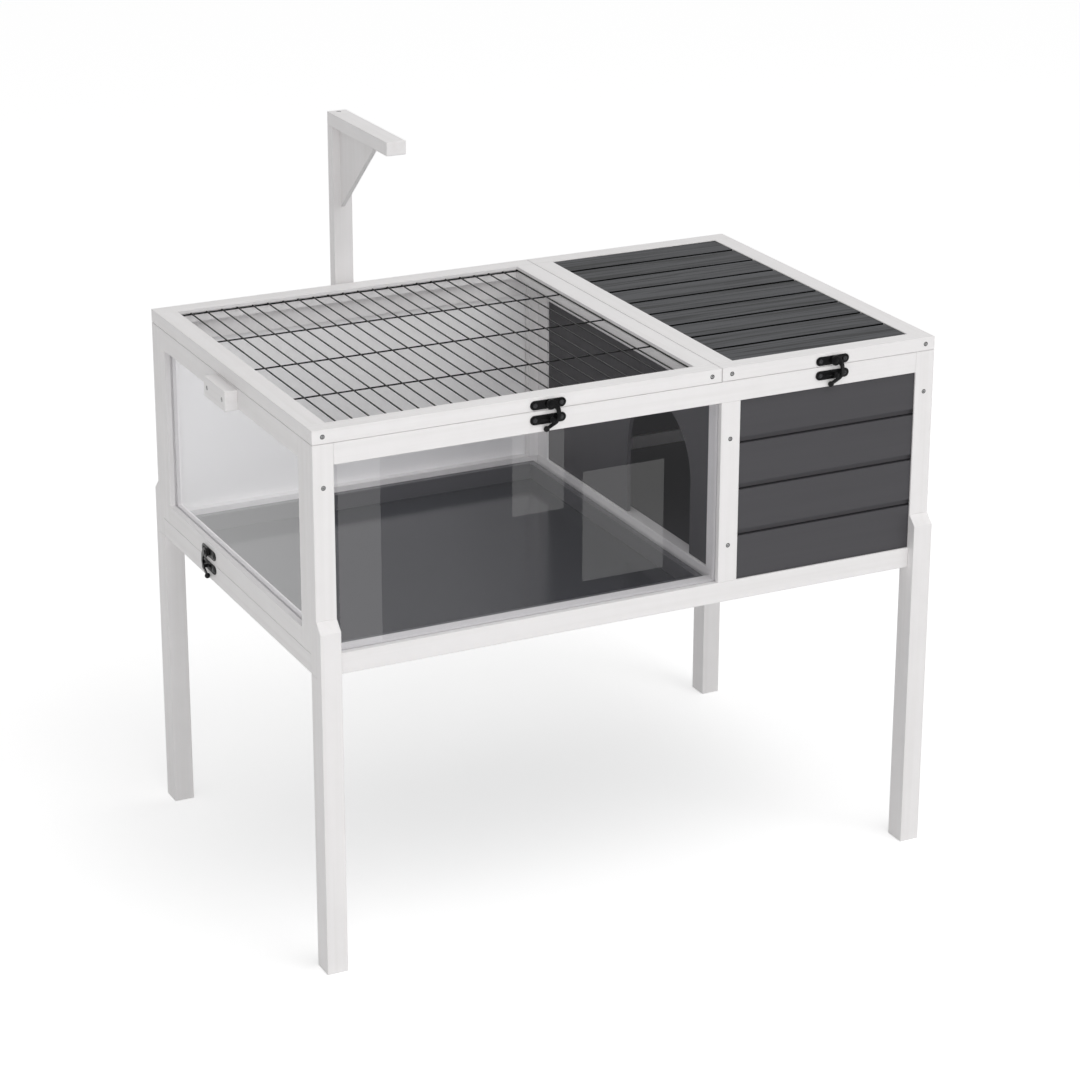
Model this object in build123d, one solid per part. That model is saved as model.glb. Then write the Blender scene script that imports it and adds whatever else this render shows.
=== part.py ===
"""Raised tortoise house: white softwood frames, dark boards, a wire lid, a boarded lid and a tray.

Built in house coordinates: x runs from the left face to the right, y from the front face to the
back, z up from the floor, all in millimetres. The finished pieces are shifted once, on export, so
that the origin is the middle of the base.
"""
import os

from build123d import *

# Body, without the lids and legs
body_length = 950.0
body_depth = 610.0
body_height = 325.0
ground_clearance = 434.0
frame_thickness = 20.0
rail_width = 30.0
run_window_width = 575.5
back_bottom_rail_width = 36.0
edge_break = 0.5

# Legs: a post under each corner, with a thinner tongue that laps the outside of the frame
leg_proud = 14.0
leg_tongue = 80.5

# Left end: a window frame that stands over the front of the tray
tray_front_height = 28.0
left_bottom_rail_width = 28.0

# Window panes, in grooves half way through their frames
pane_thickness = 3.0
pane_bite = 3.0
groove_depth = 5.0
groove_clearance = 0.2

# Wall boards of the shelter: each has a sunk channel above its lower joint
board_count = 4
board_thickness = 12.0
board_recess = 3.0
board_bite = 4.0
board_gap = 1.6
board_lap = 4.0
channel_height = 7.5
channel_depth = 4.0

# Plain sheet behind the run
sheet_thickness = 4.0
sheet_recess = 5.0
sheet_bite = 4.0

# Partition between run and shelter, with the arched doorway
divider_front_stile_width = 24.0
divider_rear_stile_width = 43.0
divider_bottom_rail_width = 39.0
corner_batten_width = 15.5
corner_batten_depth = 13.0
arch_panel_thickness = 6.0
arch_panel_recess = 3.0
doorway_radius = 95.0
doorway_from_front = 193.0
doorway_spring_height = 107.0

# Floor of the shelter
shelter_floor_thickness = 6.0
shelter_floor_height = 10.0

# Tray of the run and the battens that guide it
front_guide_thickness = 13.0
rear_guide_thickness = 8.0
guide_ledge_width = 12.0
guide_ledge_thickness = 4.0
tray_side_clearance = 1.0
tray_lift = 0.3
tray_wall_thickness = 10.0
tray_floor_thickness = 2.0
tray_end_gap = 6.5

# Carrying block on the left end
carry_block_depth = 19.0
carry_block_length = 80.0
carry_block_height = 29.0
carry_block_drop = 2.0
carry_screw_spacing = 57.0

# Lids
lid_thickness = 20.0
lid_gap = 0.5
lid_seam = 1.0
lid_front_rail_width = 26.0
lid_rear_rail_width = 29.0

# Wire mesh of the run lid
wire = 2.2
wire_depth = 6.5
wire_pitch_x = 23.85
wire_pitch_y = 142.7
wire_columns = 23
wire_rows = 4
kerf_clearance = 0.2
mesh_front_bite = 4.0
mesh_left_bite = 2.5

# Roof boards
roof_board_count = 9
roof_board_thickness = 12.0
roof_board_recess = 1.0
roof_board_gap = 6.0
roof_board_lap = 4.0
roof_board_bite = 6.0
roof_tongue_thickness = 8.0

# Lamp bracket behind the run
lamp_stock_width = 30.0
lamp_stock_thickness = 18.0
lamp_standoff = 17.0
lamp_off_centre = 8.0
lamp_top_above_lid = 255.5
lamp_arm_thickness = 20.0
lamp_arm_length = 218.0
gusset_length = 134.0
gusset_height = 122.0
gusset_thickness = 6.4
spacer_height = 28.0

# Butt hinges on the back
hinge_length = 50.0
hinge_inset = 80.0
hinge_leaf_thickness = 1.2
hinge_leaf_height = 17.0
knuckle_radius = 3.0
knuckle_standoff = 0.3
knuckle_gap = 0.3
leaf_gap = 0.5
pin_radius = 1.5
pin_clearance = 0.05
hinge_screw_spacing = 32.0

# Swing hook latches
plate_length = 53.0
plate_height = 13.0
plate_thickness = 1.5
plate_screw_spacing = 39.0
pivot_offset = 2.5
boss_radius = 6.0
boss_height = 4.4
rivet_radius = 2.0
rivet_head_radius = 3.4
rivet_head_height = 1.0
hook_thickness = 2.0
hook_play = 0.1
hook_disc_radius = 7.2
hook_ball_radius = 4.1
keeper_drop = 20.8
catch_radius = 2.6
catch_head_radius = 4.0
catch_height = 8.4
catch_head_height = 1.2
catch_gap = 0.6
keeper_rib_length = 11.0
keeper_rib_width = 3.2
keeper_rib_height = 1.0
lid_plate_above_seam = 8.0
tray_plate_above_seam = 12.3

# Outline of the hook, seen face on: down its outer edge from the pivot, then back up its inner edge
hook_outer_shoulder = (10.5, -1.0)
hook_outer_waist = (14.0, -12.5)
hook_inner_waist = (8.2, -12.5)
hook_inner_notch = (7.2, -8.6)
hook_inner_root = (4.2, -5.8)

# The same below the waist, measured from the level of the throat, where the hook passes the catch
hook_outer_bow = (13.3, 3.5)
hook_outer_bend = (8.5, -4.0)
hook_tail_lower = (-5.9, -11.2)
hook_ball = (-6.9, -9.5)
hook_tail_upper = (-7.9, -7.8)
hook_throat = (5.6, 0.0)
hook_inner_bow = (8.9, 5.5)

# Where the latches are
mesh_latch_off_centre = 39.0
solid_latch_off_centre = 5.5
tray_latch_off_centre = 97.0

# Countersunk wood screws
screw_head_radius = 3.2
screw_head_sink = 0.3
screw_shank_radius = 1.75
screw_clearance = 0.05
frame_screw_length = 40.0
leg_screw_length = 30.0
block_screw_length = 32.0
post_screw_length = 48.0
cross_length = 3.4
cross_width = 0.9
cross_depth = 1.0

# Round-headed screws of the latches and hinges
pan_head_radius = 3.3
pan_head_height = 1.3
pan_head_bevel = 0.5
pan_shank_radius = 1.2
pan_screw_length = 12.0

# Levels and faces worked out from the sizes above
body_bottom = ground_clearance
body_top = body_bottom + body_height
top_rail_bottom = body_top - rail_width
front_rail_top = body_bottom + rail_width
back_rail_top = body_bottom + back_bottom_rail_width
left_frame_bottom = body_bottom + tray_front_height
left_rail_top = left_frame_bottom + left_bottom_rail_width
tongue_top = body_bottom + leg_tongue

inside_front = frame_thickness
inside_back = body_depth - frame_thickness
end_rail_front = inside_front + rail_width
end_rail_back = inside_back - rail_width
middle_stile_left = rail_width + run_window_width
middle_stile_right = middle_stile_left + rail_width
middle_x = (middle_stile_left + middle_stile_right) / 2
right_stile_left = body_length - rail_width

pane_front = (frame_thickness - pane_thickness) / 2
pane_back = pane_front + pane_thickness
board_back = board_recess + board_thickness

divider_left = middle_x - frame_thickness / 2
divider_right = divider_left + frame_thickness
divider_rail_top = body_bottom + divider_bottom_rail_width
arch_panel_front = inside_front + divider_front_stile_width
arch_panel_back = inside_back - divider_rear_stile_width

guide_bottom = body_bottom - guide_ledge_thickness
front_guide_face = inside_front + front_guide_thickness
rear_guide_face = inside_back - rear_guide_thickness
tray_near = front_guide_face + tray_side_clearance
tray_far = rear_guide_face - tray_side_clearance
tray_right = divider_left - tray_end_gap
tray_base = body_bottom + tray_lift
tray_floor_top = tray_base + tray_floor_thickness
tray_rim = left_frame_bottom - tray_lift

lid_bottom = body_top + lid_gap
lid_top = body_top + lid_thickness
lid_middle_z = (lid_bottom + lid_top) / 2
lid_inner_front = lid_front_rail_width
lid_inner_back = body_depth - lid_rear_rail_width
mesh_lid_right = middle_stile_left - lid_seam / 2
solid_lid_left = middle_stile_left + lid_seam / 2

wire_z = lid_top - wire_depth
mesh_left = rail_width - mesh_left_bite - wire / 2
mesh_right = mesh_lid_right - rail_width + wire / 2
mesh_front = lid_inner_front - mesh_front_bite
mesh_back = lid_inner_back + wire / 2

roof_left = solid_lid_left + rail_width
roof_right = body_length - rail_width
roof_top = lid_top - roof_board_recess
roof_bottom = roof_top - roof_board_thickness
roof_tongue_top = roof_bottom + roof_tongue_thickness

lamp_front = body_depth + lamp_standoff
lamp_back = lamp_front + lamp_stock_thickness
lamp_top = lid_top + lamp_top_above_lid
lamp_arm_bottom = lamp_top - lamp_arm_thickness
lamp_centre = middle_stile_left / 2 + lamp_off_centre
lamp_left = lamp_centre - lamp_stock_width / 2
lamp_right = lamp_centre + lamp_stock_width / 2
spacer_bottoms = (top_rail_bottom + (rail_width - spacer_height) / 2,
                  body_bottom + (back_bottom_rail_width - spacer_height) / 2)

pin_y = body_depth + knuckle_standoff + knuckle_radius
pin_z = body_top + lid_gap / 2
leaf_middle = (knuckle_radius + hinge_leaf_height) / 2
mesh_hinges = (hinge_inset, mesh_lid_right - hinge_inset - hinge_length)
solid_hinges = (solid_lid_left + hinge_inset, body_length - hinge_inset - hinge_length)

hook_back = boss_height + hook_play
hook_front = hook_back + hook_thickness
rivet_top = hook_front + hook_play + rivet_head_height

carry_block_top = body_top - carry_block_drop
carry_block_bottom = carry_block_top - carry_block_height

# The origin: the middle of the base of the whole object's box
origin_x = (body_length - carry_block_depth) / 2
origin_y = (lamp_back - leg_proud) / 2


# Basic shapes

def block(x0, x1, y0, y1, z0, z1):
    """A plain block between two corners."""
    centre = Pos((x0 + x1) / 2, (y0 + y1) / 2, (z0 + z1) / 2)
    return centre * Box(x1 - x0, y1 - y0, z1 - z0)


def bar(x0, x1, y0, y1, z0, z1):
    """A planed bar between two corners, with its sharp edges broken."""
    return chamfer(block(x0, x1, y0, y1, z0, z1).edges(), edge_break)


def upright(radius, z0, z1):
    """A cylinder on the z axis."""
    return Pos(0, 0, (z0 + z1) / 2) * Cylinder(radius, z1 - z0)


def turned_to_right(piece):
    """Turns a piece of the front wall, with its outer face at y = 0, to stand in the right end."""
    return Pos(body_length, 0, 0) * (Rot(0, 0, 90) * piece)


def turned_to_back(piece):
    """Turns a piece of the front wall, with its outer face at y = 0, to stand in the back."""
    return Pos(body_length, body_depth, 0) * (Rot(0, 0, 180) * piece)


# Legs

def leg(x0, outward, face):
    """A corner post whose tongue laps the frame; outward is -1 at the front and 1 at the back."""
    outside = face + outward * leg_proud
    inside = face - outward * frame_thickness
    outline = Polyline(
        (inside, 0), (outside, 0), (outside, tongue_top - leg_proud), (face, tongue_top),
        (face, body_bottom), (inside, body_bottom), close=True)
    post = extrude(Plane.YZ * make_face(outline), amount=rail_width, dir=(1, 0, 0))
    return chamfer((Pos(x0, 0, 0) * post).edges(), edge_break)


# Grooves: each is the slab that its pane, sheet or boards enter, cut from every piece round them

def front_pane_groove():
    return block(rail_width - groove_depth, middle_stile_left + groove_depth,
                 pane_front - groove_clearance, pane_back + groove_clearance,
                 front_rail_top - groove_depth, top_rail_bottom + groove_depth)


def side_pane_groove():
    return block(pane_front - groove_clearance, pane_back + groove_clearance,
                 end_rail_front - groove_depth, end_rail_back + groove_depth,
                 left_rail_top - groove_depth, top_rail_bottom + groove_depth)


def board_groove(x0, x1, bottom):
    """For boards of the front wall; the other walls turn it."""
    return block(x0 - groove_depth, x1 + groove_depth,
                 board_recess - groove_clearance, board_back + groove_clearance,
                 bottom - groove_depth, top_rail_bottom + groove_depth)


def front_board_groove():
    return board_groove(middle_stile_right, right_stile_left, front_rail_top)


def right_board_groove():
    return turned_to_right(board_groove(end_rail_front, end_rail_back, front_rail_top))


def back_board_groove():
    return turned_to_back(board_groove(rail_width, body_length - middle_stile_right, back_rail_top))


def back_sheet_groove():
    front = inside_back + sheet_recess
    return block(rail_width - groove_depth, middle_stile_left + groove_depth,
                 front - groove_clearance, front + sheet_thickness + groove_clearance,
                 back_rail_top - groove_depth, top_rail_bottom + groove_depth)


# Front and back walls

def front_left_stile():
    return bar(0, rail_width, 0, inside_front, body_bottom, body_top) - front_pane_groove()


def front_middle_stile():
    stile = bar(middle_stile_left, middle_stile_right, 0, inside_front, front_rail_top, top_rail_bottom)
    return stile - front_pane_groove() - front_board_groove()


def front_right_stile():
    stile = bar(right_stile_left, body_length, 0, inside_front, body_bottom, body_top)
    return stile - front_board_groove()


def front_rail(z0, z1):
    """A rail from corner stile to corner stile."""
    rail = bar(rail_width, right_stile_left, 0, inside_front, z0, z1)
    return rail - front_pane_groove() - front_board_groove()


def back_stiles():
    left = bar(0, rail_width, inside_back, body_depth, body_bottom, body_top)
    middle = bar(middle_stile_left, middle_stile_right, inside_back, body_depth,
                 back_rail_top, top_rail_bottom)
    right = bar(right_stile_left, body_length, inside_back, body_depth, body_bottom, body_top)
    return [left - back_sheet_groove(), middle - back_sheet_groove() - back_board_groove(),
            right - back_board_groove()]


def back_rail(z0, z1):
    rail = bar(rail_width, right_stile_left, inside_back, body_depth, z0, z1)
    return rail - back_sheet_groove() - back_board_groove()


def back_sheet():
    front = inside_back + sheet_recess
    return block(rail_width - sheet_bite, middle_stile_left + sheet_bite,
                 front, front + sheet_thickness,
                 back_rail_top - sheet_bite, top_rail_bottom + sheet_bite)


def wall_boards(x0, x1, bottom):
    """Boards of the front wall between two stiles, from a bottom rail to the top rail."""
    left, right = x0 - board_bite, x1 + board_bite
    lowest = bottom - board_bite
    pitch = (top_rail_bottom + board_bite - lowest) / board_count
    boards = [block(left, right, board_recess, board_back, lowest, lowest + pitch)]
    for number in range(1, board_count):
        joint = lowest + number * pitch
        foot = joint + board_gap
        board = block(left, right, board_recess, board_back, foot, joint + pitch)
        board -= block(left, right, board_recess, board_recess + channel_depth,
                       foot, foot + channel_height)
        board += block(left, right, board_back - board_lap, board_back, joint, foot)
        boards.append(board)
    return boards


def front_boards():
    return wall_boards(middle_stile_right, right_stile_left, front_rail_top)


def back_boards():
    boards = wall_boards(rail_width, body_length - middle_stile_right, back_rail_top)
    return [turned_to_back(board) for board in boards]


# Left and right ends

def end_stiles(x0, x1, bottom):
    """The front and rear stiles of an end frame."""
    return [bar(x0, x1, inside_front, end_rail_front, bottom, body_top),
            bar(x0, x1, end_rail_back, inside_back, bottom, body_top)]


def left_stiles():
    stiles = end_stiles(0, frame_thickness, left_frame_bottom)
    return [stile - side_pane_groove() for stile in stiles]


def left_rail(z0, z1):
    return bar(0, frame_thickness, end_rail_front, end_rail_back, z0, z1) - side_pane_groove()


def right_stiles():
    stiles = end_stiles(body_length - frame_thickness, body_length, body_bottom)
    return [stile - right_board_groove() for stile in stiles]


def right_rails():
    x0 = body_length - frame_thickness
    levels = ((body_bottom, front_rail_top), (top_rail_bottom, body_top))
    return [bar(x0, body_length, end_rail_front, end_rail_back, z0, z1) - right_board_groove()
            for z0, z1 in levels]


def right_boards():
    boards = wall_boards(end_rail_front, end_rail_back, front_rail_top)
    return [turned_to_right(board) for board in boards]


def carry_block():
    middle, half = body_depth / 2, carry_block_length / 2
    return bar(-carry_block_depth, 0, middle - half, middle + half, carry_block_bottom, carry_block_top)


# Window panes

def front_window():
    return block(rail_width - pane_bite, middle_stile_left + pane_bite, pane_front, pane_back,
                 front_rail_top - pane_bite, top_rail_bottom + pane_bite)


def side_window():
    return block(pane_front, pane_back, end_rail_front - pane_bite, end_rail_back + pane_bite,
                 left_rail_top - pane_bite, top_rail_bottom + pane_bite)


# Partition

def divider_stiles():
    return [bar(divider_left, divider_right, inside_front, arch_panel_front,
                divider_rail_top, top_rail_bottom),
            bar(divider_left, divider_right, arch_panel_back, inside_back,
                divider_rail_top, top_rail_bottom)]


def divider_rails():
    return [bar(divider_left, divider_right, inside_front, inside_back, z0, z1)
            for z0, z1 in ((body_bottom, divider_rail_top), (top_rail_bottom, body_top))]


def corner_batten():
    """The batten in the corner between the partition and the back wall."""
    return bar(divider_left - corner_batten_width, divider_left, inside_back - corner_batten_depth,
               inside_back, back_rail_top, body_top)


def divider_arch_panel():
    x0 = divider_left + arch_panel_recess
    x1 = x0 + arch_panel_thickness
    spring = divider_rail_top + doorway_spring_height
    panel = block(x0, x1, arch_panel_front, arch_panel_back, divider_rail_top, top_rail_bottom)
    opening = block(x0, x1, doorway_from_front - doorway_radius, doorway_from_front + doorway_radius,
                    divider_rail_top, spring)
    arch = Plane(origin=((x0 + x1) / 2, doorway_from_front, spring), z_dir=(1, 0, 0)).location
    return panel - opening - arch * Cylinder(doorway_radius, x1 - x0)


# Floors and tray

def shelter_floor():
    z0 = body_bottom + shelter_floor_height
    return block(divider_right, body_length - frame_thickness, inside_front, inside_back,
                 z0, z0 + shelter_floor_thickness)


def tray_guides():
    """Battens along the run's front and back, each with the ledge below that the tray slides on."""
    x0, x1 = frame_thickness, divider_left
    front = block(x0, x1, inside_front, front_guide_face, guide_bottom, front_rail_top)
    front += block(x0, x1, front_guide_face, front_guide_face + guide_ledge_width,
                   guide_bottom, body_bottom)
    rear = block(x0, x1, rear_guide_face, inside_back, guide_bottom, back_rail_top)
    rear += block(x0, x1, rear_guide_face - guide_ledge_width, rear_guide_face,
                  guide_bottom, body_bottom)
    return [front, rear]


def tray_front():
    return bar(0, frame_thickness, inside_front + tray_lift, inside_back - tray_lift,
               body_bottom, tray_rim)


def tray_floor():
    return block(frame_thickness, tray_right, tray_near, tray_far, tray_base, tray_floor_top)


def tray_walls():
    inner_right = tray_right - tray_wall_thickness
    near = bar(frame_thickness, inner_right, tray_near, tray_near + tray_wall_thickness,
               tray_floor_top, tray_rim)
    far = bar(frame_thickness, inner_right, tray_far - tray_wall_thickness, tray_far,
              tray_floor_top, tray_rim)
    end = bar(inner_right, tray_right, tray_near, tray_far, tray_floor_top, tray_rim)
    return [near, far, end]


# Lids

def lid_front_rail(x0, x1):
    return bar(x0, x1, 0, lid_inner_front, lid_bottom, lid_top)


def lid_rear_rail(x0, x1):
    return bar(x0, x1, lid_inner_back, body_depth, lid_bottom, lid_top)


def lid_side_rails(x0, x1):
    return [bar(x0, x0 + rail_width, lid_inner_front, lid_inner_back, lid_bottom, lid_top),
            bar(x1 - rail_width, x1, lid_inner_front, lid_inner_back, lid_bottom, lid_top)]


def mesh_kerf():
    """The saw kerf round the inside of the run lid that takes the mesh's outer wires."""
    half = wire / 2 + kerf_clearance
    return block(mesh_left - kerf_clearance, mesh_right + kerf_clearance,
                 mesh_front - kerf_clearance, mesh_back + kerf_clearance, wire_z - half, wire_z + half)


def wire_mesh():
    """The welded mesh as one sheet with a hole for each gap between wires."""
    across = [mesh_right - wire / 2 - n * wire_pitch_x for n in reversed(range(wire_columns))]
    along = [mesh_back - wire / 2 - n * wire_pitch_y for n in reversed(range(wire_rows))]
    columns = [mesh_left + wire / 2] + across
    rows = [mesh_front + wire / 2] + along
    gaps = [Pos((x0 + x1) / 2, (y0 + y1) / 2) * Rectangle(x1 - x0 - wire, y1 - y0 - wire)
            for x0, x1 in zip(columns, columns[1:]) for y0, y1 in zip(rows, rows[1:])]
    middle = Pos((mesh_left + mesh_right) / 2, (mesh_front + mesh_back) / 2)
    sheet = middle * Rectangle(mesh_right - mesh_left, mesh_back - mesh_front) - gaps
    return Pos(0, 0, wire_z - wire / 2) * extrude(sheet, amount=wire)


def roof_groove():
    """The groove in the boarded lid's side rails that the boards' tongues enter."""
    return block(roof_left - roof_board_bite - groove_clearance,
                 roof_right + roof_board_bite + groove_clearance, lid_inner_front, lid_inner_back,
                 roof_bottom - groove_clearance, roof_tongue_top + groove_clearance)


def roof_boards():
    """Boards along x, tongued into the side rails, each lapping under the joint behind it."""
    pitch = (lid_inner_back - lid_inner_front + roof_board_gap) / roof_board_count
    lap_top = roof_bottom + roof_board_lap
    boards = []
    for number in range(roof_board_count):
        y0 = lid_inner_front + number * pitch
        y1 = y0 + pitch - roof_board_gap
        board = bar(roof_left, roof_right, y0, y1, roof_bottom, roof_top)
        board += block(roof_left - roof_board_bite, roof_left + edge_break,
                       y0 + edge_break, y1 - edge_break, roof_bottom, roof_tongue_top)
        board += block(roof_right - edge_break, roof_right + roof_board_bite,
                       y0 + edge_break, y1 - edge_break, roof_bottom, roof_tongue_top)
        if number + 1 < roof_board_count:
            board += block(roof_left, roof_right, y1 - edge_break, y1 + roof_board_gap,
                           roof_bottom, lap_top)
        boards.append(board)
    return boards


# Lamp bracket

def lamp_post():
    return bar(lamp_left, lamp_right, lamp_front, lamp_back, body_bottom, lamp_arm_bottom)


def lamp_arm():
    return bar(lamp_left, lamp_right, lamp_back - lamp_arm_length, lamp_back, lamp_arm_bottom, lamp_top)


def lamp_gusset():
    outline = Polyline(
        (lamp_front, lamp_arm_bottom), (lamp_front - gusset_length, lamp_arm_bottom),
        (lamp_front, lamp_arm_bottom - gusset_height), close=True)
    web = extrude(Plane.YZ * make_face(outline), amount=gusset_thickness, dir=(1, 0, 0))
    return Pos(lamp_centre - gusset_thickness / 2, 0, 0) * web


def lamp_spacers():
    """Two blocks that hold the post far enough back for the run lid's rear edge to swing."""
    return [bar(lamp_left, lamp_right, body_depth, lamp_front, z, z + spacer_height)
            for z in spacer_bottoms]


# Hinges

def on_hinge_axis(x0, x1, radius):
    """A cylinder on the hinge axis."""
    place = Plane(origin=((x0 + x1) / 2, pin_y, pin_z), z_dir=(1, 0, 0)).location
    return place * Cylinder(radius, x1 - x0)


def hinge_leaf(x0, own_knuckles, z0, z1):
    """One leaf of a butt hinge, with the knuckles numbered in own_knuckles out of three."""
    third = hinge_length / 3
    leaf = block(x0, x0 + hinge_length, body_depth, body_depth + hinge_leaf_thickness, z0, z1)
    for number in range(3):
        a, b = x0 + number * third, x0 + (number + 1) * third
        if number not in own_knuckles:
            leaf -= on_hinge_axis(a - knuckle_gap, b + knuckle_gap, knuckle_radius + knuckle_gap)
    for number in own_knuckles:
        a = x0 + number * third + (knuckle_gap if number else 0)
        b = x0 + (number + 1) * third - (knuckle_gap if number < 2 else 0)
        leaf += on_hinge_axis(a, b, knuckle_radius)
    return leaf - on_hinge_axis(x0, x0 + hinge_length, pin_radius + pin_clearance)


def body_leaves(hinges):
    return [hinge_leaf(x, (1,), pin_z - hinge_leaf_height, pin_z - leaf_gap) for x in hinges]


def lid_leaves(hinges):
    return [hinge_leaf(x, (0, 2), pin_z + leaf_gap, pin_z + hinge_leaf_height) for x in hinges]


def hinge_pins():
    return [on_hinge_axis(x, x + hinge_length, pin_radius) for x in mesh_hinges + solid_hinges]


# Screws, drawn with the surface they are driven into at z = 0 and the shank down -z

def crossed(screw, top):
    """A screw with the crossed slot of its head cut from the level top."""
    for turn in (0, 90):
        slot = Pos(0, 0, top - cross_depth / 2) * Box(cross_length, cross_width, cross_depth)
        screw -= Rot(0, 0, turn) * slot
    return screw


def wood_screw(length):
    """A countersunk screw, driven a little below the surface."""
    neck = screw_head_radius - screw_shank_radius
    top = -screw_head_sink
    outline = Polyline((0, top), (screw_head_radius, top), (screw_shank_radius, top - neck),
                       (screw_shank_radius, screw_shank_radius - length), (0, -length), close=True)
    return crossed(revolve(Plane.XZ * make_face(outline), axis=Axis.Z), top)


def wood_screw_hole(length):
    rim = screw_head_radius + screw_clearance
    shank = screw_shank_radius + screw_clearance
    shoulder = -screw_head_sink - screw_head_radius + screw_shank_radius
    outline = Polyline((0, 1), (rim, 1), (rim, -screw_head_sink), (shank, shoulder),
                       (shank, -length - screw_clearance), (0, -length - screw_clearance), close=True)
    return revolve(Plane.XZ * make_face(outline), axis=Axis.Z)


def pan_screw():
    """A round-headed screw through a plate that lies on the surface."""
    top = plate_thickness + pan_head_height
    head = upright(pan_head_radius, plate_thickness, top)
    head = chamfer(head.edges().group_by(Axis.Z)[-1], pan_head_bevel)
    return crossed(head + upright(pan_shank_radius, plate_thickness - pan_screw_length, top - cross_depth),
                   top)


def pan_screw_hole():
    return upright(pan_shank_radius + screw_clearance,
                   plate_thickness - pan_screw_length - screw_clearance, plate_thickness)


# Swing hook latches, drawn face on with the pivot at the origin: x right, y up, z out of the face

def latch_screw_places(place, hand=1):
    """The two screws of a latch plate; hand is -1 where the latch is mirrored."""
    return [place * Pos(hand * (side * plate_screw_spacing / 2 - pivot_offset), 0, 0)
            for side in (-1, 1)]


def latch_base():
    """An oblong plate drilled for its two screws."""
    plate = Pos(-pivot_offset, 0, 0) * extrude(SlotOverall(plate_length, plate_height),
                                                amount=plate_thickness)
    for place in latch_screw_places(Pos(0, 0, 0)):
        plate -= place * pan_screw_hole()
    return plate


def latch_plate():
    """The plate that carries the hook, with its boss and rivet."""
    plate = latch_base() + upright(boss_radius, 0, boss_height) + upright(rivet_radius, 0, rivet_top)
    return plate + upright(rivet_head_radius, rivet_top - rivet_head_height, rivet_top)


def latch_keeper():
    """The plate with the headed catch that the hook swings round."""
    keeper = latch_base() + upright(catch_radius, 0, catch_height)
    keeper += upright(catch_head_radius, catch_height, catch_height + catch_head_height)
    rib_right = -catch_radius
    return keeper + block(rib_right - keeper_rib_length, rib_right, -keeper_rib_width / 2,
                          keeper_rib_width / 2, 0, plate_thickness + keeper_rib_height)


def latch_hook():
    """The swing hook: a disc on the rivet, a bow round the catch and a tail with a ball."""
    throat = -(keeper_drop + catch_radius + catch_gap)
    outer_bow, outer_bend, tail_lower, ball, tail_upper, inner_throat, inner_bow = [
        (x, throat + y) for x, y in (hook_outer_bow, hook_outer_bend, hook_tail_lower, hook_ball,
                                     hook_tail_upper, hook_throat, hook_inner_bow)]
    top = (0, hook_disc_radius)
    outline = (
        ThreePointArc(top, hook_outer_shoulder, hook_outer_waist)
        + ThreePointArc(hook_outer_waist, outer_bow, outer_bend)
        + Polyline(outer_bend, tail_lower, tail_upper, inner_throat)
        + ThreePointArc(inner_throat, inner_bow, hook_inner_waist)
        + ThreePointArc(hook_inner_waist, hook_inner_notch, hook_inner_root)
        + Line(hook_inner_root, top))
    hook = Pos(0, 0, hook_back) * extrude(make_face(outline), amount=hook_thickness)
    hook += upright(hook_disc_radius, hook_back, hook_front)
    ball_centre = Pos(*ball, (hook_back + hook_front) / 2)
    hook += ball_centre * (Rot(0, 90, 0) * Sphere(hook_ball_radius))
    return hook - upright(rivet_radius + pin_clearance, 0, rivet_top)


def mirrored(piece):
    return mirror(piece, about=Plane.YZ)


# Places of latches and screws

def on_front(x, z):
    """A place on the front face that looks forward, with its x to the right."""
    return Plane(origin=(x, 0, z), x_dir=(1, 0, 0), z_dir=(0, -1, 0)).location


def on_left(y, z, x=0.0):
    """A place on the left face that looks left, with its x towards the front."""
    return Plane(origin=(x, y, z), x_dir=(0, -1, 0), z_dir=(-1, 0, 0)).location


def on_back(x, z, y=body_depth):
    """A place on the back face that looks backward."""
    return Plane(origin=(x, y, z), z_dir=(0, 1, 0)).location


mesh_latch_x = mesh_lid_right / 2 + mesh_latch_off_centre
solid_latch_x = (solid_lid_left + body_length) / 2 + solid_latch_off_centre
tray_latch_y = body_depth / 2 + tray_latch_off_centre
lid_latch_z = lid_bottom + lid_plate_above_seam
tray_latch_z = left_frame_bottom + tray_plate_above_seam

mesh_latch_place = on_front(mesh_latch_x, lid_latch_z)
solid_latch_place = on_front(solid_latch_x, lid_latch_z)
tray_latch_place = on_left(tray_latch_y, tray_latch_z)
mesh_keeper_place = on_front(mesh_latch_x, lid_latch_z - keeper_drop)
solid_keeper_place = on_front(solid_latch_x, lid_latch_z - keeper_drop)
tray_keeper_place = on_left(tray_latch_y, tray_latch_z - keeper_drop)

corner_xs = (rail_width / 2, body_length - rail_width / 2)
upper_screw_z = body_top - 2 * rail_width
lower_screw_z = tongue_top + rail_width
middle_screw_inset = 1.8 * rail_width
leg_screw_xs = ((frame_thickness + rail_width) / 2, body_length - (frame_thickness + rail_width) / 2)
leg_screw_z = tongue_top - 0.9 * rail_width

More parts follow.
